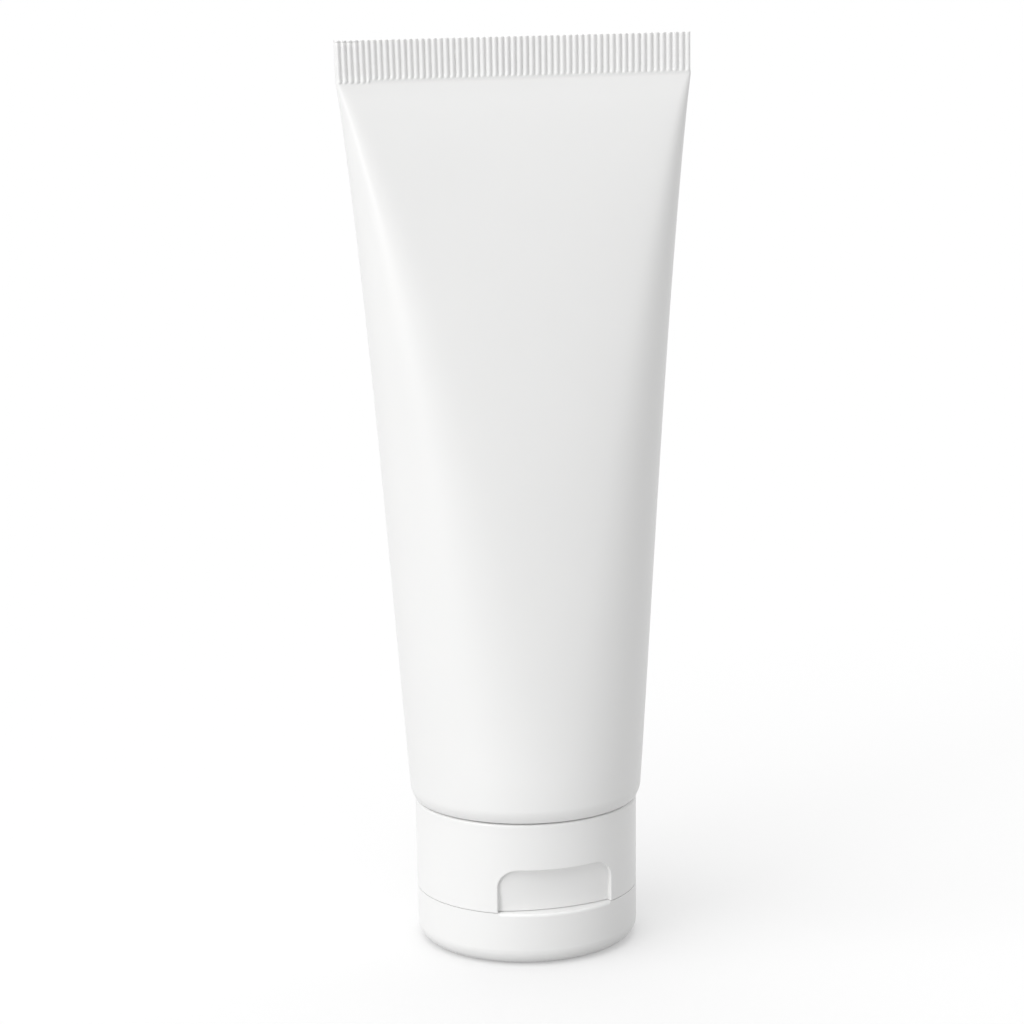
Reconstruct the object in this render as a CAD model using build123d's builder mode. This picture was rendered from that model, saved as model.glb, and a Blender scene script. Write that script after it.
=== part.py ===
from build123d import *
import math
import os

os.makedirs("parts", exist_ok=True)

# A filled squeeze tube that stands on its closed flip-top cap, with the crimped seal on top.
# The origin is the centre of the lid's outer face, +Z is up and the thumb recess faces -Y.

# Overall sizes
tube_diameter = 35.0
overall_height = 136.0
cap_height = 22.0
lid_height = 8.2
seal_height = 6.1

# Sleeve
sleeve_wall = 0.5
seam_gap = 0.25
turn_radius = 3.5
turn_height = 2.0
fullness = 1.2
fullness_peak_share = 0.75
crown_height = 1.2
draw_in_share = 0.99
section_count = 16

# Crimped seal
rib_count = 58
rib_depth = 0.16
seal_thickness = 0.72
seal_root = 0.6

# Head, the moulded shoulder and neck
weld_clearance = 0.05
shoulder_thickness = 1.5
shoulder_drop = 1.2
skirt_wall = 1.2
neck_radius = 7.5
neck_bore_radius = 5.0
neck_end_gap = 0.3
neck_edge = 0.4

# Cream
cream_clearance = 0.1

# Cap base
rim_step = 0.7
cap_taper = 0.08
cap_wall = 1.3
rim_round = 0.4
parting_gap = 0.08
deck_rise = 0.8
deck_thickness = 1.3
thread_skirt_radius = 8.7
thread_skirt_wall = 1.5
thread_skirt_drop = 1.6
neck_seal_wall = 0.8
neck_seal_height = 1.6
neck_seal_clearance = 0.08
spout_radius = 3.5
spout_bore_radius = 1.75
spout_length = 3.4
spout_round = 0.6
seat_ring_wall = 0.9
seat_ring_depth = 1.1
seat_ring_clearance = 0.15

# Thumb recess
recess_half_width_share = 0.52
recess_height = 6.6
recess_corner = 2.8
recess_top_depth = 1.3
recess_low_depth = 2.0
recess_floor_radius = 26.0
recess_edge_round = 0.2
lip_round = 0.45

# Lid
lid_taper = 0.02
lid_plate = 1.4
lid_edge_round = 2.55
ledge_thickness = 1.3
plug_foot_radius = 1.65
plug_tip_radius = 1.42
plug_reach = 1.5

# Film hinge
film_half_width = 4.5
film_thickness = 0.3
film_length = 1.6
film_clearance = 0.04

# Cuts run past the faces that they open by this much
overrun = 2.0

# The handle length of a cubic that follows a quarter circle, as a share of the radius
arc_handle_share = 4 / 3 * (math.sqrt(2) - 1)

# The sleeve's sections lie closer together towards the seal, as shares of the way up to it.
section_shares = [math.sin(math.pi / 2 * step / section_count) for step in range(section_count + 1)]
cavity_shares = section_shares[:-1]
cream_shares = section_shares[:-2]

# Heights and radii that follow from the sizes above
tube_radius = tube_diameter / 2
rim_radius = tube_radius - rim_step
parting_radius = rim_radius - cap_taper
lid_base_radius = parting_radius - lid_taper
shoulder_z = cap_height + seam_gap
taper_z = shoulder_z + turn_height
seal_z = overall_height - seal_height
parting_z = lid_height + parting_gap
deck_z = parting_z + deck_rise
deck_top_z = deck_z + deck_thickness
neck_end_z = deck_top_z + neck_end_gap
spout_end_z = deck_z - spout_length
cap_inner_radius = rim_radius - cap_wall
lid_inner_radius = lid_base_radius - cap_wall
seat_ring_radius = lid_inner_radius - seat_ring_clearance
recess_top_z = parting_z + recess_height
recess_half_width = recess_half_width_share * parting_radius


# A section of the sleeve is an oval of four equal quarters. It starts as the round tube and is
# drawn flat towards the seal at the same girth, a little fuller than a straight taper.
def end_radius(share):
    swell = share**1.5 * math.sqrt(1 - share)
    peak = fullness_peak_share**1.5 * math.sqrt(1 - fullness_peak_share)
    return tube_radius - (tube_radius - sleeve_wall) * share + fullness * swell / peak


def half_flat(share):
    return draw_in_share * math.pi / 2 * (tube_radius - end_radius(share))


def section_plane(share):
    return Plane.XY.offset(taper_z + (seal_z - taper_z) * share)


def oval(share, inset):
    radius = end_radius(share) - inset
    if share == 0:
        for start_angle in (0, 90, 180, 270):
            CenterArc((0, 0), radius, start_angle, 90)
        return
    side_x = half_flat(share) + radius
    front_y = radius + crown_height * 4 * share * (1 - share)
    handle_x = half_flat(share) + arc_handle_share * radius
    handle_y = arc_handle_share * front_y
    Bezier((side_x, 0), (side_x, handle_y), (handle_x, front_y), (0, front_y))
    Bezier((0, front_y), (-handle_x, front_y), (-side_x, handle_y), (-side_x, 0))
    Bezier((-side_x, 0), (-side_x, -handle_y), (-handle_x, -front_y), (0, -front_y))
    Bezier((0, -front_y), (handle_x, -front_y), (side_x, -handle_y), (side_x, 0))


# The sleeve's lower edge turns in over the shoulder on an arc.
def turned_edge(inset, low_z):
    centre_x = tube_radius - turn_radius
    radius = turn_radius - inset
    low_x = centre_x + math.sqrt(radius**2 - (taper_z - low_z) ** 2)
    middle_angle = math.asin((taper_z - low_z) / radius) / 2
    middle = (centre_x + radius * math.cos(middle_angle), taper_z - radius * math.sin(middle_angle))
    return (low_x, low_z), middle, (centre_x + radius, taper_z)


# Seal: the top of the sleeve, pressed flat. Its fin is corrugated, so that each ridge in front
# lies over a groove behind, and it stands on the plain closed end of the skin.
seal_half_width = half_flat(1) + end_radius(1)
rib_pitch = 2 * seal_half_width / rib_count
wave = [
    (-seal_half_width + rib_pitch * (step + 0.5) / 2, rib_depth * (1 if step % 2 else -1) / 2)
    for step in range(2 * rib_count)
]
with BuildPart() as seal:
    with BuildSketch(section_plane(1)):
        with BuildLine():
            oval(1, 0)
        make_face()
    extrude(amount=seal_root)
    front = [(x, y - seal_thickness / 2) for x, y in wave]
    back = [(x, y + seal_thickness / 2) for x, y in reversed(wave)]
    with BuildSketch(section_plane(1).offset(seal_root)):
        with BuildLine():
            Polyline(*front, *back, close=True)
        make_face()
    extrude(amount=seal_height - seal_root)

# Sleeve: one welded skin, round at the shoulder and drawn flat towards the seal
with BuildPart() as sleeve:
    for share in section_shares:
        with BuildSketch(section_plane(share)):
            with BuildLine():
                oval(share, 0)
            make_face()
    loft()
    for share in cavity_shares:
        with BuildSketch(section_plane(share)):
            with BuildLine():
                oval(share, sleeve_wall)
            make_face()
    loft(mode=Mode.SUBTRACT)
    outer = turned_edge(0, shoulder_z)
    inner = turned_edge(sleeve_wall, shoulder_z)
    with BuildSketch(Plane.XZ):
        with BuildLine():
            ThreePointArc(*outer)
            Line(outer[2], inner[2])
            ThreePointArc(inner[2], inner[1], inner[0])
            Line(inner[0], outer[0])
        make_face()
    revolve(axis=Axis.Z)
    add(seal.part)
sleeve.part.label = "tube_sleeve"
export_step(sleeve.part, "parts/tube_sleeve.step")

# Head: a dished shoulder inside the sleeve's turned edge, with the neck below it
dish_z = shoulder_z - shoulder_drop
with BuildPart() as head:
    corner = turned_edge(sleeve_wall + weld_clearance, shoulder_z)
    skirt_x = corner[2][0] - skirt_wall
    with BuildSketch(Plane.XZ):
        with BuildLine():
            ThreePointArc(*corner)
            Polyline(
                corner[2],
                (skirt_x, taper_z),
                (skirt_x, shoulder_z + shoulder_thickness),
                (neck_bore_radius, dish_z + shoulder_thickness),
                (neck_bore_radius, neck_end_z),
                (neck_radius, neck_end_z),
                (neck_radius, dish_z),
                (cap_inner_radius, shoulder_z),
                corner[0],
            )
        make_face()
    revolve(axis=Axis.Z)
    neck_end_edges = head.edges().filter_by(GeomType.CIRCLE).group_by(Axis.Z)[0]
    chamfer(neck_end_edges.sort_by(SortBy.RADIUS)[-1], neck_edge)
head.part.label = "tube_head"
export_step(head.part, "parts/tube_head.step")

# Cream: fills the sleeve, the dish of the head and the neck down to the cap's inner seal
with BuildPart() as cream:
    for share in cream_shares:
        with BuildSketch(section_plane(share)):
            with BuildLine():
                oval(share, sleeve_wall + cream_clearance)
            make_face()
    loft()
    # The cream stands back from the head by the same clearance.
    cream_x = skirt_x - cream_clearance
    cream_neck = neck_bore_radius - cream_clearance
    cream_end_z = deck_top_z + neck_seal_height + cream_clearance
    with BuildSketch(Plane.XZ):
        with BuildLine():
            Polyline(
                (0, cream_end_z),
                (cream_neck, cream_end_z),
                (cream_neck, dish_z + shoulder_thickness + cream_clearance),
                (cream_x, shoulder_z + shoulder_thickness + cream_clearance),
                (cream_x, taper_z + cream_clearance),
                (0, taper_z + cream_clearance),
                close=True,
            )
        make_face()
    revolve(axis=Axis.Z)
cream.part.label = "adhesive_cream"
export_step(cream.part, "parts/adhesive_cream.step")


# The recess floor is a wide cylinder that leans in towards the parting line. Its axis lies behind
# the cap, so one solid of it at each depth bounds the recess and the wall that backs it.
def floor_cylinder(depth):
    top_y = -parting_radius + recess_top_depth + depth
    low_y = -parting_radius + recess_low_depth + depth
    lean = Vector(0, top_y - low_y, recess_height)
    radius = recess_floor_radius - depth
    axis_y = low_y + radius * lean.length / recess_height
    start = Vector(0, axis_y, parting_z) - lean
    return Plane(origin=start, x_dir=(1, 0, 0), z_dir=lean), radius, 3 * lean.length


# The recess as seen from the front: square at the parting line, round at its two upper corners
with BuildPart() as recess:
    with BuildSketch(Plane.XZ.offset(rim_radius + overrun)):
        with BuildLine():
            FilletPolyline(
                (-recess_half_width, parting_z - overrun),
                (-recess_half_width, recess_top_z),
                (recess_half_width, recess_top_z),
                (recess_half_width, parting_z - overrun),
                radius=recess_corner,
            )
            Line((recess_half_width, parting_z - overrun), (-recess_half_width, parting_z - overrun))
        make_face()
    extrude(amount=-rim_radius)
    plane, radius, length = floor_cylinder(0)
    with BuildSketch(plane):
        Circle(radius)
    extrude(amount=length, mode=Mode.SUBTRACT)

# The wall that backs the recess follows its floor and edges at the cap's wall thickness.
backing_half_width = recess_half_width + cap_wall
with BuildPart() as backing:
    with BuildSketch(Plane.XZ.offset(rim_radius + overrun)):
        with BuildLine():
            FilletPolyline(
                (-backing_half_width, parting_z),
                (-backing_half_width, recess_top_z + cap_wall),
                (backing_half_width, recess_top_z + cap_wall),
                (backing_half_width, parting_z),
                radius=recess_corner + cap_wall,
            )
            Line((backing_half_width, parting_z), (-backing_half_width, parting_z))
        make_face()
    extrude(amount=-rim_radius)
    plane, radius, length = floor_cylinder(cap_wall)
    with BuildSketch(plane):
        Circle(radius)
    extrude(amount=length, mode=Mode.SUBTRACT)

# Cap envelope: the outer form of the cap base, from the parting line to its rim
with BuildPart() as envelope:
    with BuildSketch(Plane.XZ):
        with BuildLine():
            Polyline(
                (0, parting_z),
                (parting_radius, parting_z),
                (rim_radius, cap_height),
                (0, cap_height),
                close=True,
            )
        make_face()
    revolve(axis=Axis.Z)
    fillet(envelope.edges().group_by(Axis.Z)[-1], rim_round)
with BuildPart() as recess_wall:
    add(envelope.part)
    add(backing.part, mode=Mode.INTERSECT)

# Seat ring: the lid closes round it. It stops short of the lid's thumb ledge.
ledge_y = -parting_radius + recess_low_depth + cap_wall
with BuildPart() as seat_ring:
    with BuildSketch(Plane.XY.offset(deck_z)):
        Circle(seat_ring_radius)
        Circle(seat_ring_radius - seat_ring_wall, mode=Mode.SUBTRACT)
        with Locations((0, -seat_ring_radius)):
            Rectangle(
                2 * (backing_half_width + seat_ring_clearance),
                2 * (seat_ring_radius + ledge_y + seat_ring_clearance),
                mode=Mode.SUBTRACT,
            )
    extrude(amount=-deck_rise - seat_ring_depth)

# Cap base: outer wall, deck with spout, threaded skirt round the neck, and the neck's inner seal
with BuildPart() as base:
    add(envelope.part)
    with BuildSketch(Plane.XZ):
        with BuildLine():
            Polyline(
                (0, deck_top_z),
                (parting_radius - cap_wall, deck_top_z),
                (cap_inner_radius, cap_height + overrun),
                (0, cap_height + overrun),
                close=True,
            )
        make_face()
    revolve(axis=Axis.Z, mode=Mode.SUBTRACT)
    with BuildSketch(Plane.XY.offset(parting_z)):
        Circle(parting_radius - cap_wall)
    extrude(amount=deck_rise, mode=Mode.SUBTRACT)
    add(recess_wall.part)
    add(seat_ring.part)
    with BuildSketch(Plane.XY.offset(deck_top_z)):
        Circle(thread_skirt_radius + thread_skirt_wall)
        Circle(thread_skirt_radius, mode=Mode.SUBTRACT)
    extrude(amount=cap_height - thread_skirt_drop - deck_top_z)
    neck_seal_radius = neck_bore_radius - neck_seal_clearance
    with BuildSketch(Plane.XY.offset(deck_top_z)):
        Circle(neck_seal_radius)
        Circle(neck_seal_radius - neck_seal_wall, mode=Mode.SUBTRACT)
    extrude(amount=neck_seal_height)
    add(recess.part, mode=Mode.SUBTRACT)
    # The recess's upper edge is softened where it breaks through the outer wall.
    recess_edges = [
        edge
        for edge in base.edges().filter_by_position(Axis.Z, parting_z, recess_top_z)
        if abs((edge @ 0.5).X) < recess_half_width + recess_edge_round
        and math.hypot((edge @ 0.5).X, (edge @ 0.5).Y) > parting_radius - recess_edge_round
        and (edge @ 0.5).Y < 0
        and edge.bounding_box().max.Z > parting_z + recess_edge_round
    ]
    fillet(recess_edges, recess_edge_round)
    with BuildSketch(Plane.XY.offset(deck_z)):
        Circle(spout_radius)
    extrude(amount=-spout_length)
    fillet(base.edges().group_by(Axis.Z)[0], spout_round)
    with BuildSketch(Plane.XY.offset(spout_end_z)):
        Circle(spout_bore_radius)
    extrude(amount=deck_top_z - spout_end_z, mode=Mode.SUBTRACT)
base.part.label = "cap_base"
export_step(base.part, "parts/cap_base.step")

# Lid envelope: the outer form of the lid, on which the whole tube stands
with BuildPart() as lid_envelope:
    with BuildSketch(Plane.XZ):
        with BuildLine():
            Polyline(
                (0, 0),
                (lid_base_radius, 0),
                (parting_radius, lid_height),
                (0, lid_height),
                close=True,
            )
        make_face()
    revolve(axis=Axis.Z)
    fillet(lid_envelope.edges().group_by(Axis.Z)[0], lid_edge_round)

# Thumb ledge: closes the lid under the recess
with BuildPart() as ledge:
    add(lid_envelope.part)
    with BuildSketch(Plane.XY.offset(lid_height)):
        with Locations((0, ledge_y)):
            Rectangle(2 * backing_half_width, lid_base_radius, align=(Align.CENTER, Align.MAX))
    extrude(amount=-ledge_thickness, mode=Mode.INTERSECT)

# The lid's upper edge is rounded where the recess bares it.
with BuildPart() as lip_cut:
    lip_centre = (parting_radius - lip_round, lid_height - lip_round)
    with BuildSketch(Plane.XZ):
        with Locations(lip_centre):
            Rectangle(lip_round + overrun, lip_round + overrun, align=(Align.MIN, Align.MIN))
            Circle(lip_round, mode=Mode.SUBTRACT)
    revolve(axis=Axis.Z)
    with BuildSketch(Plane.XY):
        Rectangle(2 * recess_half_width, 2 * parting_radius, align=(Align.CENTER, Align.MAX))
    extrude(amount=cap_height, mode=Mode.INTERSECT)

# Lid: a shallow cup with the thumb ledge in front and the plug that closes the spout
with BuildPart() as lid:
    add(lid_envelope.part)
    inner_round = lid_edge_round - cap_wall
    with BuildSketch(Plane.XZ):
        with BuildLine():
            FilletPolyline(
                (0, lid_plate),
                (lid_inner_radius, lid_plate),
                (lid_inner_radius, lid_height + overrun),
                radius=inner_round,
            )
            Polyline(
                (lid_inner_radius, lid_height + overrun),
                (0, lid_height + overrun),
                (0, lid_plate),
            )
        make_face()
    revolve(axis=Axis.Z, mode=Mode.SUBTRACT)
    add(ledge.part)
    add(lip_cut.part, mode=Mode.SUBTRACT)
    plug_top_z = spout_end_z + plug_reach
    with BuildSketch(Plane.XZ):
        with BuildLine():
            Polyline(
                (0, lid_plate),
                (plug_foot_radius, lid_plate),
                (plug_foot_radius, spout_end_z),
                (plug_tip_radius, plug_top_z),
                (0, plug_top_z),
                close=True,
            )
        make_face()
    revolve(axis=Axis.Z)
lid.part.label = "cap_lid"
export_step(lid.part, "parts/cap_lid.step")

# Film hinge: a thin web behind the cap that folds as the lid opens. Closed, it is bent back on
# itself round the hinge's axis, which lies half of the web's length behind the cap.
film_z = (lid_height + parting_z) / 2
with BuildPart() as film:
    bend_radius = film_thickness
    outer_bend = bend_radius + film_thickness / 2
    inner_bend = bend_radius - film_thickness / 2
    leg_y = parting_radius + (film_length - math.pi * bend_radius) / 2
    with BuildSketch(Plane.YZ.offset(-film_half_width)):
        with BuildLine():
            Line((lid_inner_radius, film_z + outer_bend), (leg_y, film_z + outer_bend))
            ThreePointArc(
                (leg_y, film_z + outer_bend),
                (leg_y + outer_bend, film_z),
                (leg_y, film_z - outer_bend),
            )
            Polyline(
                (leg_y, film_z - outer_bend),
                (lid_inner_radius, film_z - outer_bend),
                (lid_inner_radius, film_z - inner_bend),
                (leg_y, film_z - inner_bend),
            )
            ThreePointArc(
                (leg_y, film_z - inner_bend),
                (leg_y + inner_bend, film_z),
                (leg_y, film_z + inner_bend),
            )
            Polyline(
                (leg_y, film_z + inner_bend),
                (lid_inner_radius, film_z + inner_bend),
                (lid_inner_radius, film_z + outer_bend),
            )
        make_face()
    extrude(amount=2 * film_half_width)
    with BuildSketch(Plane.XY):
        Circle(parting_radius + film_clearance)
    extrude(amount=cap_height, mode=Mode.SUBTRACT)
film.part.label = "film_hinge"
export_step(film.part, "parts/film_hinge.step")
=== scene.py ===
import math

import bpy
import numpy as np
from mathutils import Matrix, Vector, noise


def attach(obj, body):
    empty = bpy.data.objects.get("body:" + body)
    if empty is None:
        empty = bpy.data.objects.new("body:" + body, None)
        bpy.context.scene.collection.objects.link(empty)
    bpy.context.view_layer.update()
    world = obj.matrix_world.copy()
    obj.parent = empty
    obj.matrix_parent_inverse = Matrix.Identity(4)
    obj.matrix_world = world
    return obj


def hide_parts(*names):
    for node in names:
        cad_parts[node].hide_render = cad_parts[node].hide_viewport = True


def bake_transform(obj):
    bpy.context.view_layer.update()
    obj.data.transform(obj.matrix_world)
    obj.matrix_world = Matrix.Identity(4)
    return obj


# A filled squeeze tube that stands on its closed flip-top cap, dressed for a white studio shot.
# Sizes in the dictionaries are millimetres and degrees, except in the looks, which are in metres
# as the shaders are.
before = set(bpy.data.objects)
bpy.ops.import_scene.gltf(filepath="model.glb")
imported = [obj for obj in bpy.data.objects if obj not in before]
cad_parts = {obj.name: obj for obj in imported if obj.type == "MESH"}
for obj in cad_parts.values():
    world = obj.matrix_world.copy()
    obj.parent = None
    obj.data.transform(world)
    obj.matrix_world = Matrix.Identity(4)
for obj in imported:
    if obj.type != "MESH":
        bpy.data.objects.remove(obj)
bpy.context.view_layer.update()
mm = 0.001
weldGap = 0.001
print("frame loaded:", sorted(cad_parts))


# The direction of a place round the part, where azimuth 0 is the front
def towards(azimuth, elevation):
    turn, lift = math.radians(azimuth), math.radians(elevation)
    level = math.cos(lift)
    return Vector((math.sin(turn) * level, -math.cos(turn) * level, math.sin(lift)))


# Camera, at the photo's viewing angle
cameraSetup = {
    "azimuth": -16.56,
    "elevation": 11.37,
    "roll": -0.8,
    "distance": 449.534,
    "aimHeight": 65.611,
    "aimRight": -1.492,
    "lens": 105.638,
    "sensor": 36.0,
    "clipStart": 20.0,
    "clipEnd": 40000.0,
}


def makeCamera(setup):
    turn = math.radians(setup["azimuth"])
    roll = math.radians(setup["roll"])
    back = towards(setup["azimuth"], setup["elevation"])
    right = Vector((math.cos(turn), math.sin(turn), 0))
    up = back.cross(right)
    middle = Vector((0, 0, setup["aimHeight"]))
    place = middle + back * setup["distance"] + right * setup["aimRight"]
    rolledRight = right * math.cos(roll) + up * math.sin(roll)
    rolledUp = up * math.cos(roll) - right * math.sin(roll)
    bpy.ops.object.camera_add()
    camera = bpy.context.object
    camera.name = "photoCamera"
    camera.data.lens = setup["lens"]
    camera.data.sensor_width = setup["sensor"]
    camera.data.clip_start = setup["clipStart"] * mm
    camera.data.clip_end = setup["clipEnd"] * mm
    axes = Matrix((rolledRight, rolledUp, back)).transposed()
    camera.matrix_world = Matrix.Translation(place * mm) @ axes.to_4x4()
    bpy.context.scene.camera = camera


makeCamera(cameraSetup)
print("camera placed")


# Materials. A wire is a shader socket that can stand in sums and products.
class Wire:
    def __init__(self, finish, socket):
        self.finish = finish
        self.socket = socket

    def work(self, operation, first, second):
        return self.finish.add("ShaderNodeMath", {"operation": operation}, {0: first, 1: second})

    def __add__(self, other):
        return self.work("ADD", self, other)

    def __sub__(self, other):
        return self.work("SUBTRACT", self, other)

    def __rsub__(self, other):
        return self.work("SUBTRACT", other, self)

    def __mul__(self, other):
        return self.work("MULTIPLY", self, other)

    __radd__ = __add__
    __rmul__ = __mul__


class Finish:
    def __init__(self, owner):
        owner.use_nodes = True
        self.owner = owner
        self.tree = owner.node_tree
        self.tree.nodes.clear()

    def add(self, kind, settings, inputs, output=0):
        node = self.tree.nodes.new(kind)
        for key, value in settings.items():
            setattr(node, key, value)
        for key, value in inputs.items():
            socket = node.inputs[key]
            if isinstance(value, Wire):
                self.tree.links.new(value.socket, socket)
            elif socket.type == "RGBA" and len(value) == 3:
                socket.default_value = (*value, 1)
            else:
                socket.default_value = value
        return Wire(self, node.outputs[output])

    def place(self):
        return self.add("ShaderNodeTexCoord", {}, {}, "Object")

    def grain(self, vector, scale, detail=2.0, roughness=0.5):
        return self.add("ShaderNodeTexNoise", {}, {
            "Vector": vector, "Scale": scale, "Detail": detail, "Roughness": roughness,
        }, "Fac")

    def stretched(self, vector, scale):
        return self.add("ShaderNodeVectorMath", {"operation": "MULTIPLY"}, {0: vector, 1: scale})

    def ramp(self, value, low, high):
        return self.add("ShaderNodeMapRange", {"interpolation_type": "SMOOTHSTEP"}, {
            "Value": value, "From Min": low, "From Max": high, "To Min": 0.0, "To Max": 1.0,
        })

    # Marks of handling in a few places
    def rubbing(self, place, look):
        marks = self.grain(self.stretched(place, look["rubScale"]), 1.0, 5.0, 0.7)
        return self.ramp(marks, look["rubFrom"], look["rubTo"])

    def blend(self, share, colourA, colourB):
        inputs = {0: share, 6: colourA, 7: colourB}
        return self.add("ShaderNodeMix", {"data_type": "RGBA"}, inputs, 2)

    def bump(self, height, distance, strength, below=None):
        inputs = {"Height": height, "Distance": distance, "Strength": strength}
        if below:
            inputs["Normal"] = below
        return self.add("ShaderNodeBump", {}, inputs)

    def larger(self, first, second):
        return self.add("ShaderNodeMath", {"operation": "MAXIMUM"}, {0: first, 1: second})

    # One for the eye, also by way of a reflection, and nought for the light that falls on things
    def seenDirectly(self):
        eye, gloss, clear = (
            self.add("ShaderNodeLightPath", {}, {}, ray)
            for ray in ("Is Camera Ray", "Is Glossy Ray", "Is Transmission Ray"))
        return self.larger(eye, self.larger(gloss, clear))

    def done(self, shader, end="ShaderNodeOutputMaterial"):
        self.tree.links.new(shader.socket, self.tree.nodes.new(end).inputs["Surface"])
        return self.owner


# Satin polyethylene of the sleeve: faint lines along the extrusion, a fine grain and light rubbing.
# The scale of the lines counts over the sleeve's UV map. A bump is a distance and a strength.
sleeveLook = {
    "colour": (0.86, 0.86, 0.855),
    "shade": (0.835, 0.835, 0.83),
    "roughness": 0.35,
    "cloudScale": 60.0,
    "cloudRoughness": 0.08,
    "cloudBump": (0.00025, 0.12),
    "lineScale": (190.0, 1.6, 1.0),
    "lineRoughness": 0.05,
    "lineBump": (0.000016, 0.25),
    "fineScale": 6500.0,
    "fineBump": (0.000004, 0.35),
    "rubScale": (900.0, 900.0, 220.0),
    "rubFrom": 0.58,
    "rubTo": 0.72,
    "rubRoughness": 0.056,
    "refraction": 1.5,
    "shine": 0.45,
}


def makeSleeveFinish(look):
    finish = Finish(bpy.data.materials.new("satin_sleeve"))
    place = finish.place()
    skin = finish.add("ShaderNodeUVMap", {"uv_map": "UVMap"}, {})
    cloud = finish.grain(place, look["cloudScale"], 3.0)
    lines = finish.grain(finish.stretched(skin, look["lineScale"]), 1.0, 4.0, 0.6)
    fine = finish.grain(place, look["fineScale"])
    rub = finish.rubbing(place, look)
    rough = look["roughness"] + look["cloudRoughness"] * (cloud - 0.5)
    rough = rough + look["lineRoughness"] * (lines - 0.5) + look["rubRoughness"] * rub
    normal = finish.bump(cloud, *look["cloudBump"])
    normal = finish.bump(lines, *look["lineBump"], normal)
    normal = finish.bump(fine, *look["fineBump"], normal)
    return finish.done(finish.add("ShaderNodeBsdfPrincipled", {}, {
        "Base Color": finish.blend(cloud, look["shade"], look["colour"]),
        "Roughness": rough,
        "IOR": look["refraction"],
        "Specular IOR Level": look["shine"],
        "Normal": normal,
    }))


# Glossier polypropylene of the cap mouldings, with a fine mould grain and a few handling marks. The
# head and the cream are made in the same way, with a colour and a gloss of their own.
moulding = {
    "cloudScale": 90.0,
    "cloudRoughness": 0.07,
    "fineScale": 5200.0,
    "fineBump": (0.000004, 0.3),
    "rubScale": (500.0, 500.0, 1400.0),
    "rubFrom": 0.6,
    "rubTo": 0.74,
    "rubRoughness": 0.08,
    "refraction": 1.49,
}
capLook = {"colour": (0.87, 0.87, 0.865), "shade": (0.85, 0.85, 0.845), "roughness": 0.3}
headLook = {"colour": (0.84, 0.84, 0.83), "shade": (0.81, 0.81, 0.8), "roughness": 0.42}
creamLook = {"colour": (0.93, 0.86, 0.83), "shade": (0.9, 0.8, 0.77), "roughness": 0.3}


def makeMouldedFinish(look, name):
    finish = Finish(bpy.data.materials.new(name))
    place = finish.place()
    cloud = finish.grain(place, moulding["cloudScale"], 3.0)
    fine = finish.grain(place, moulding["fineScale"])
    rub = finish.rubbing(place, moulding)
    rough = look["roughness"] + moulding["cloudRoughness"] * (cloud - 0.5)
    rough = rough + moulding["rubRoughness"] * rub
    return finish.done(finish.add("ShaderNodeBsdfPrincipled", {}, {
        "Base Color": finish.blend(cloud, look["shade"], look["colour"]),
        "Roughness": rough,
        "IOR": moulding["refraction"],
        "Normal": finish.bump(fine, *moulding["fineBump"]),
    }))


sleeveFinish = makeSleeveFinish(sleeveLook)
capFinish = makeMouldedFinish(capLook, "gloss_cap")
headFinish = makeMouldedFinish(headLook, "matte_head")
creamFinish = makeMouldedFinish(creamLook, "pale_cream")


def dress(piece, material):
    piece.data.materials.clear()
    piece.data.materials.append(material)


for node, material in (
    ("cap_base", capFinish),
    ("cap_lid", capFinish),
    ("tube_head", headFinish),
    ("adhesive_cream", creamFinish),
):
    dress(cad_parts[node], material)
print("CAD nodes dressed")


def deselectAll():
    if bpy.context.object and bpy.context.object.mode != "OBJECT":
        bpy.ops.object.mode_set(mode="OBJECT")
    bpy.ops.object.select_all(action="DESELECT")


def closeMesh(smoothAngle, weld=True):
    bpy.ops.object.mode_set(mode="EDIT")
    bpy.ops.mesh.select_all(action="SELECT")
    if weld:
        bpy.ops.mesh.remove_doubles(threshold=weldGap * mm)
    bpy.ops.mesh.normals_make_consistent(inside=False)
    bpy.ops.object.mode_set(mode="OBJECT")
    bpy.ops.object.shade_smooth_by_angle(angle=math.radians(smoothAngle))


# Sleeve: a sheet about as wide as the tube's girth, rolled up and drawn flat at one end. Its rows
# run down the inside, round the lower lip, up the outside and over the seal, so it is one closed
# skin. A share says how far up a row lies, from the shoulder to the foot of the seal.
sleeve = {
    "radius": 17.5,
    "wall": 0.5,
    "shoulder": 22.25,
    "turnHeight": 2.0,
    "turnRadius": 3.5,
    "turnSteps": 6,
    "sealFoot": 129.9,
    "top": 136.0,
    # The filling swells the round sides, most of all at the peak, and gives a little more width.
    "fullness": 2.25,
    "fullnessPeak": 0.65,
    "fullnessRise": 1.5,
    "fullnessFall": 0.8,
    "give": 0.22,
    "crown": 1.2,
    "drawIn": 0.99,
    "straightFrom": 0.965,
    "curvePoints": 400,
    "skinRows": 36,
    "innerSkip": 3,
    "innerSpan": (0.02, 0.985),
    "innerTip": 1.0,
    "lumps": 0.035,
    "lumpRate": 1.15,
    "lumpSize": 17.0,
    "sealHalfWidth": 26.94,
    "sealHalf": 0.4,
    "settleHeight": 0.8,
    "topBevel": 0.04,
    "flare": 0.18,
    "finHeights": (
        0, 0.15, 0.25, 0.35, 0.45, 0.6, 0.8, 1.2, 2, 3, 4, 5,
        5.6, 5.72, 5.78, 5.84, 5.92, 6.04, 6.1),
    "ribs": 58,
    "ribDepth": 0.37,
    "ribColumns": 8,
    "ribDrift": 0.93,
    "valleySharpness": 1.8,
    "valleyShare": 0.45,
    "grooveEnd": 130.2,
    "grooveFade": 0.35,
    "longGrooves": 5,
    "longGrooveDrop": 0.42,
    "mark": {"depth": 0.1, "height": 5.78, "spread": 0.07, "end": -23.2, "fade": 0.15},
    "smoothAngle": 50,
}


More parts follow.
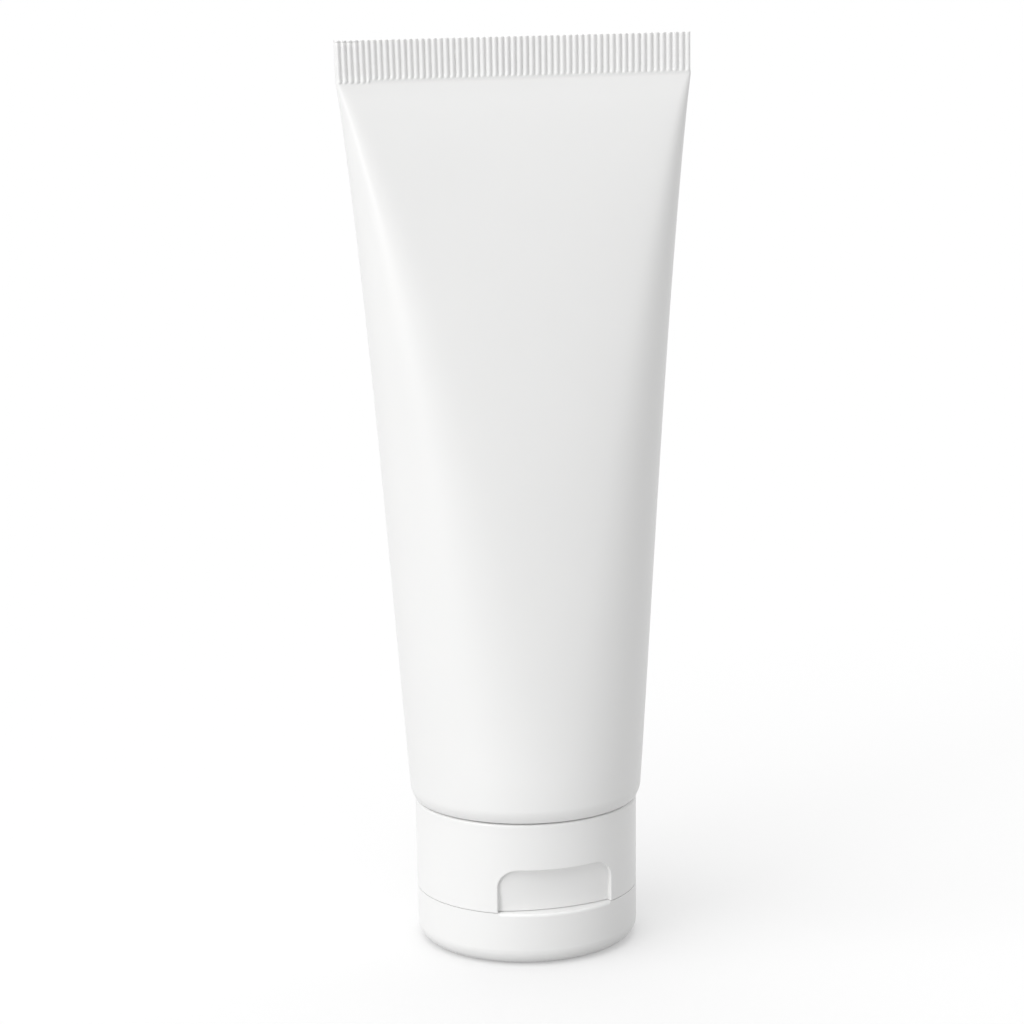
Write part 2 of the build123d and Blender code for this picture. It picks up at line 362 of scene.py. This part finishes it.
def smooth(value):
    value = np.clip(value, 0, 1)
    return value * value * (3 - 2 * value)


def endRadiusAt(spec, share):
    peak, rise, fall = spec["fullnessPeak"], spec["fullnessRise"], spec["fullnessFall"]
    swell = share ** rise * (1 - share) ** fall / (peak ** rise * (1 - peak) ** fall)
    return spec["radius"] - (spec["radius"] - spec["wall"]) * share + spec["fullness"] * swell


def ovalRing(spec, share, inset, columns):
    # The last stretch under the seal runs straight, so that no bead shows there.
    straight = spec["straightFrom"]
    endRadius = endRadiusAt(spec, min(share, straight))
    if share > straight:
        endRadius += (spec["wall"] - endRadius) * (share - straight) / (1 - straight)
    swollen = endRadius - spec["radius"] + (spec["radius"] - spec["wall"]) * share
    halfFlat = spec["drawIn"] * math.pi / 2 * (spec["radius"] - endRadius) + spec["give"] * swollen
    radius = endRadius - inset
    crown = spec["crown"] * 4 * share * (1 - share)
    # A quarter of the oval is one curve, with the handles that make a quarter of a circle.
    handle = 4 / 3 * (math.sqrt(2) - 1)
    t = np.linspace(0, 1, spec["curvePoints"])
    soft = np.outer((1 - t) ** 3, (halfFlat + radius, 0))
    soft += np.outer(3 * t * (1 - t) ** 2, (halfFlat + radius, handle * radius))
    soft += np.outer(3 * t * t * (1 - t), (halfFlat + handle * radius, radius + crown))
    soft += np.outer(t ** 3, (0, radius + crown))
    # The same oval with a flat front between two round edges, which it nears towards the seal
    flat = np.clip(halfFlat + radius - soft[:, 0], 0, radius) / radius
    flatY = (radius + crown * (1 - (soft[:, 0] / soft[0, 0]) ** 2)) * np.sqrt(flat * (2 - flat))
    x = soft[:, 0]
    y = soft[:, 1] + (flatY - soft[:, 1]) * share
    run = np.concatenate(([0], np.cumsum(np.hypot(np.diff(x), np.diff(y)))))
    stops = np.linspace(0, run[-1], columns // 4 + 1)
    quarterX, quarterY = np.interp(stops, run, x), np.interp(stops, run, y)
    ringX = np.concatenate((quarterX, -quarterX[-2::-1], -quarterX[1:], quarterX[-2::-1]))
    ringY = np.concatenate((quarterY, quarterY[-2::-1], -quarterY[1:], -quarterY[-2::-1]))
    return ringX, ringY


# The front has rounded ridges between narrow valleys, a little closer together on the left.
def ribs(spec, x, z):
    halfWidth = spec["sealHalfWidth"]
    pitch = 2 * halfWidth / spec["ribs"]
    along = (x + halfWidth + spec["ribDrift"] * (1 - (x / halfWidth) ** 2)) / pitch
    offset = np.abs(along - np.round(along))
    valley = (1 - 2 * offset) ** spec["valleySharpness"]
    end = spec["grooveEnd"] - spec["longGrooveDrop"] * (along < spec["longGrooves"] + 0.5)
    fade = smooth((z - end) / spec["grooveFade"])
    return spec["ribDepth"] * (valley - spec["valleyShare"]) * fade


def sleeveRows(spec, columns):
    taper = spec["shoulder"] + spec["turnHeight"]
    foot = spec["sealFoot"]
    shares = np.sin(np.linspace(0, math.pi / 2, spec["skinRows"] + 1))
    turnCentre = spec["radius"] - spec["turnRadius"]
    rows = []

    def skinRow(share, inset, lump):
        x, y = ovalRing(spec, share, inset, columns)
        z = np.full_like(x, taper + (foot - taper) * share)
        # The lumps fade out at the shoulder and some way under the seal.
        fading = spec["lumpRate"] * share
        if lump and fading < 1:
            fade = lump * math.sin(math.pi * fading) ** 0.5
            places = (Vector(point) / spec["lumpSize"] for point in zip(x, y, z))
            y = y + np.sign(y) * fade * np.array([noise.noise(place) for place in places])
        rows.append((x, y + ribs(spec, x, z), z))

    def turnRow(inset, angle):
        radius = spec["turnRadius"] - inset
        x, y = ovalRing(spec, 0, inset, columns)
        reach = (turnCentre + radius * math.cos(angle)) / (spec["radius"] - inset)
        rows.append((x * reach, y * reach, np.full_like(x, taper - radius * math.sin(angle))))

    low, high = spec["innerSpan"]
    inner = [share for share in shares[::-spec["innerSkip"]] if low < share < high]
    x, y = ovalRing(spec, inner[0], spec["wall"], columns)
    tip = taper + (foot - taper) * inner[0] + spec["innerTip"]
    rows.append((x, y * 0, np.full_like(x, tip)))
    for share in inner:
        skinRow(share, spec["wall"], 0)
    steps = spec["turnSteps"]
    innerTurn = math.asin(spec["turnHeight"] / (spec["turnRadius"] - spec["wall"]))
    outerTurn = math.asin(spec["turnHeight"] / spec["turnRadius"])
    for step in range(steps + 1):
        turnRow(spec["wall"], innerTurn * step / steps)
    for step in range(steps, 0, -1):
        turnRow(0, outerTurn * step / steps)
    for share in shares[:-1]:
        skinRow(share, 0, spec["lumps"])

    # The fin of the seal, evenly spread over its width, with rounded folds at both ends. A second
    # press mark crosses the first ribs at the top.
    halfWidth = spec["sealHalfWidth"]
    finHeight = spec["top"] - foot
    mark = spec["mark"]
    side = np.arange(columns + 1) / columns
    flatX = halfWidth * np.where(side < 0.5, 1 - 4 * side, 4 * side - 3)
    front = np.where(side < 0.5, 1.0, -1.0)
    skinX, skinY = ovalRing(spec, 1, 0, columns)
    for height in spec["finHeights"]:
        settle = smooth(height / spec["settleHeight"])
        half = spec["wall"] + (spec["sealHalf"] - spec["wall"]) * settle
        if height == spec["finHeights"][-1]:
            half -= spec["topBevel"]
        z = np.full_like(skinX, foot + height)
        inFold = ((np.abs(flatX) - halfWidth + half) / half).clip(0, 1)
        fold = np.sqrt(np.clip(1 - inFold ** 2, 0, 1))
        x = skinX + (flatX - skinX) * settle
        y = skinY + (front * half * fold - skinY) * settle
        press = mark["depth"] * math.exp(-((height - mark["height"]) / mark["spread"]) ** 2)
        dent = press / (1 + np.exp((x - mark["end"]) / mark["fade"]))
        y = y + np.where(y < 0, dent, 0) + ribs(spec, x, z)
        x = x - spec["flare"] * height / finHeight * np.clip(-x / halfWidth, 0, 1)
        rows.append((x, y, z))
    x, y, z = rows[-1]
    rows.append((x, ribs(spec, x, z), z))
    return rows


def makeSleeve(spec):
    columns = 2 * spec["ribs"] * spec["ribColumns"]
    rows = sleeveRows(spec, columns)
    deselectAll()
    bpy.ops.mesh.primitive_grid_add(x_subdivisions=columns, y_subdivisions=len(rows) - 1, size=1)
    piece = bpy.context.object
    piece.name = "squeezeSleeve"
    flat = np.array([v.co for v in piece.data.vertices])
    column = np.rint((flat[:, 0] + 0.5) * columns).astype(int)
    row = np.rint((flat[:, 1] + 0.5) * (len(rows) - 1)).astype(int)
    sheet = np.array(rows)
    shaped = np.stack([sheet[row, axis, column] for axis in range(3)], axis=1) * mm
    piece.data.vertices.foreach_set("co", shaped.astype(np.float32).ravel())
    piece.data.update()
    closeMesh(spec["smoothAngle"])
    dress(piece, sleeveFinish)
    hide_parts("tube_sleeve")
    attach(piece, "tube")


makeSleeve(sleeve)
print("sleeve rolled and sealed")


# Film hinge: one thin web, spun half a turn round its fold and blended between base and lid
film = {
    "width": 9.0,
    "thickness": 0.3,
    "foldRadius": 0.3,
    "foldSteps": 14,
    "start": 15.9,
    "foldY": 17.049,
    "height": 8.24,
    "smoothAngle": 40,
}


def makeFilmHinge(spec):
    deselectAll()
    top = spec["height"] + spec["foldRadius"]
    bpy.ops.mesh.primitive_plane_add(
        size=1, location=(0, spec["start"] * mm, top * mm), rotation=(math.pi / 2, 0, 0))
    piece = bpy.context.object
    piece.name = "filmHinge"
    piece.scale = (spec["width"] * mm, spec["thickness"] * mm, 1)
    bpy.ops.object.transform_apply(location=True, rotation=True, scale=True)
    bpy.ops.object.mode_set(mode="EDIT")
    bpy.ops.mesh.select_all(action="SELECT")
    run = (spec["foldY"] - spec["start"]) * mm
    bpy.ops.mesh.extrude_region_move(TRANSFORM_OT_translate={"value": (0, run, 0)})
    bpy.ops.mesh.spin(
        steps=spec["foldSteps"], angle=-math.pi, dupli=False,
        center=(0, spec["foldY"] * mm, spec["height"] * mm), axis=(1, 0, 0))
    bpy.ops.mesh.extrude_region_move(TRANSFORM_OT_translate={"value": (0, -run, 0)})
    closeMesh(spec["smoothAngle"])
    dress(piece, capFinish)
    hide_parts("film_hinge")
    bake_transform(piece)


makeFilmHinge(film)
print("film hinge folded")


# Threads: the same helix outside the neck and, facing inwards, in the cap's skirt
helix = {
    "pitch": 3.0,
    "steps": 72,
    "rootWidth": 1.35,
    "crestWidth": 0.6,
    "fadeRate": 10,
    "leastRun": 0.02,
    "smoothAngle": 30,
}
neckThread = {"root": 7.42, "crest": 8.35, "foot": 12.6, "turns": 1.9}
skirtThread = {"root": 8.78, "crest": 7.85, "foot": 14.1, "turns": 1.4}


def makeThread(spec, name, material, body):
    deselectAll()
    bpy.ops.mesh.primitive_plane_add(size=1, location=(0, 0, 0), rotation=(math.pi / 2, 0, 0))
    piece = bpy.context.object
    piece.name = name
    middle = (spec["root"] + spec["crest"]) / 2
    piece.scale = (abs(spec["crest"] - spec["root"]) * mm, helix["rootWidth"] * mm, 1)
    piece.location = (middle * mm, 0, spec["foot"] * mm)
    bpy.ops.object.transform_apply(location=True, rotation=True, scale=True)
    bpy.ops.object.mode_set(mode="EDIT")
    bpy.ops.mesh.select_all(action="DESELECT")
    bpy.ops.object.mode_set(mode="OBJECT")
    outward = spec["crest"] > spec["root"]
    for vertex in piece.data.vertices:
        vertex.select = (vertex.co.x > middle * mm) == outward
    bpy.ops.object.mode_set(mode="EDIT")
    bpy.ops.transform.resize(
        value=(1, 1, helix["crestWidth"] / helix["rootWidth"]),
        center_override=(spec["crest"] * mm, 0, spec["foot"] * mm))
    bpy.ops.object.mode_set(mode="OBJECT")
    screw = piece.modifiers.new("helix", "SCREW")
    screw.angle = 2 * math.pi * spec["turns"]
    screw.screw_offset = helix["pitch"] * spec["turns"] * mm
    screw.steps = screw.render_steps = int(helix["steps"] * spec["turns"])
    screw.use_merge_vertices = False
    bpy.ops.object.modifier_apply(modifier="helix")
    # Both ends run out into the wall that carries the thread.
    for vertex in piece.data.vertices:
        height = (vertex.co.z / mm - spec["foot"]) / (helix["pitch"] * spec["turns"])
        share = min(height, 1 - height) * spec["turns"] * helix["fadeRate"]
        run = min(1, max(helix["leastRun"], share))
        reach = math.hypot(vertex.co.x, vertex.co.y)
        wanted = spec["root"] * mm + (reach - spec["root"] * mm) * run
        vertex.co.x *= wanted / reach
        vertex.co.y *= wanted / reach
    closeMesh(helix["smoothAngle"], weld=False)
    dress(piece, material)
    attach(piece, body)


makeThread(neckThread, "neckThread", headFinish, "tube")
makeThread(skirtThread, "skirtThread", capFinish, "cap")
print("threads cut")


# Stage: a seamless floor under a white surround, and three broad lamps. The floor takes the shadow
# and is lifted to white where the camera sees it.
stage = {
    "floorSize": 14000.0,
    "floorColour": (0.5, 0.5, 0.5),
    "floorLift": 0.378,
    "surround": 0.59,
    # azimuth, elevation, spread and strength
    "keyLight": (-60.0, 57.0, 60.0, 1.55),
    "sideLight": (-58.0, 5.0, 18.0, 0.85),
    "backLight": (165.0, 60.0, 60.0, 0.79),
}


def makeStage(spec):
    deselectAll()
    bpy.ops.mesh.primitive_plane_add(size=spec["floorSize"] * mm, location=(0, 0, 0))
    floor = bpy.context.object
    floor.name = "studioFloor"
    finish = Finish(bpy.data.materials.new("studio_floor"))
    lift = finish.seenDirectly() * spec["floorLift"]
    matt = finish.add("ShaderNodeBsdfDiffuse", {}, {"Color": spec["floorColour"]})
    glow = finish.add("ShaderNodeEmission", {}, {"Color": (1, 1, 1), "Strength": lift})
    dress(floor, finish.done(finish.add("ShaderNodeAddShader", {}, {0: matt, 1: glow})))

    sky = Finish(bpy.data.worlds.new("whiteSurround"))
    level = spec["surround"] + sky.seenDirectly() * (1 - spec["surround"])
    glow = sky.add("ShaderNodeBackground", {}, {"Color": (1, 1, 1), "Strength": level})
    bpy.context.scene.world = sky.done(glow, "ShaderNodeOutputWorld")

    for name in ("keyLight", "sideLight", "backLight"):
        azimuth, elevation, spread, strength = spec[name]
        toLamp = towards(azimuth, elevation)
        bpy.ops.object.light_add(type="SUN", location=toLamp)
        lamp = bpy.context.object
        lamp.name = name
        lamp.data.energy = strength
        lamp.data.angle = math.radians(spread)
        lamp.rotation_mode = "QUATERNION"
        lamp.rotation_quaternion = toLamp.to_track_quat("Z", "Y")


makeStage(stage)
bpy.context.scene.view_settings.view_transform = "Standard"
print("stage lit")
